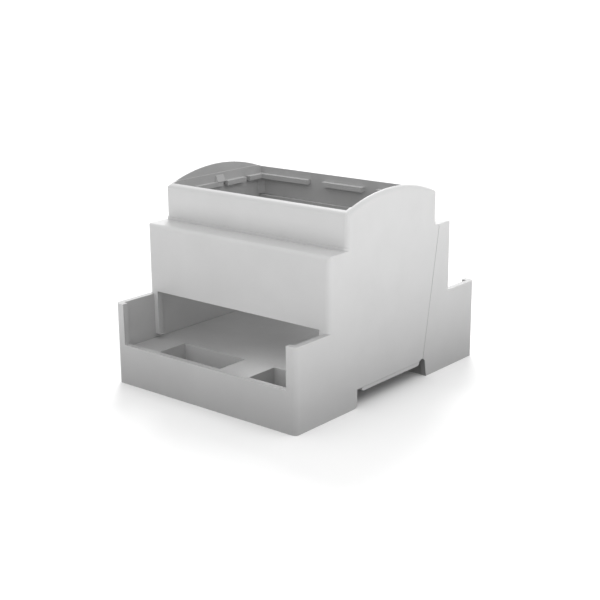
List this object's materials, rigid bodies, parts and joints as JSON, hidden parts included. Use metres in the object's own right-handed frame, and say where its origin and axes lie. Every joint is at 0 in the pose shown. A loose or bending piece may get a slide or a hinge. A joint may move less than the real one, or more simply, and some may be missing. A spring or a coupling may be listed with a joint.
{
  "type": "din rail enclosure",
  "caption": "Stepped plastic housing that clips onto a 35 mm rail, with an open front, terminal trays on both sides and sliding rail clips.",
  "frame": {"origin": "middle of the footprint, on the plane that the feet stand on", "axes": "+X along the rail, +Y across the rail towards the sliding clips, +Z away from the rail towards the open front"},
  "size_m": [0.071, 0.09, 0.0623],
  "materials": {
    "shell": "light grey moulded plastic, fine matte mould grain",
    "clip": "light grey moulded plastic, smoother satin"
  },
  "bodies": {
    "shell": {"housing": "shell", "base": "shell"},
    "clip_a": {"rail_clip_a": "clip"},
    "clip_b": {"rail_clip_b": "clip"}
  },
  "joints": [
    {"name": "clip_a_slide", "type": "slide", "parent": "shell", "child": "clip_a", "axis": [0, 1, 0], "range_m": [0, 0.003], "stiffness_N_per_m": 800, "springref_m": -0.002},
    {"name": "clip_b_slide", "type": "slide", "parent": "shell", "child": "clip_b", "axis": [0, 1, 0], "range_m": [0, 0.003], "stiffness_N_per_m": 800, "springref_m": -0.002}
  ]
}
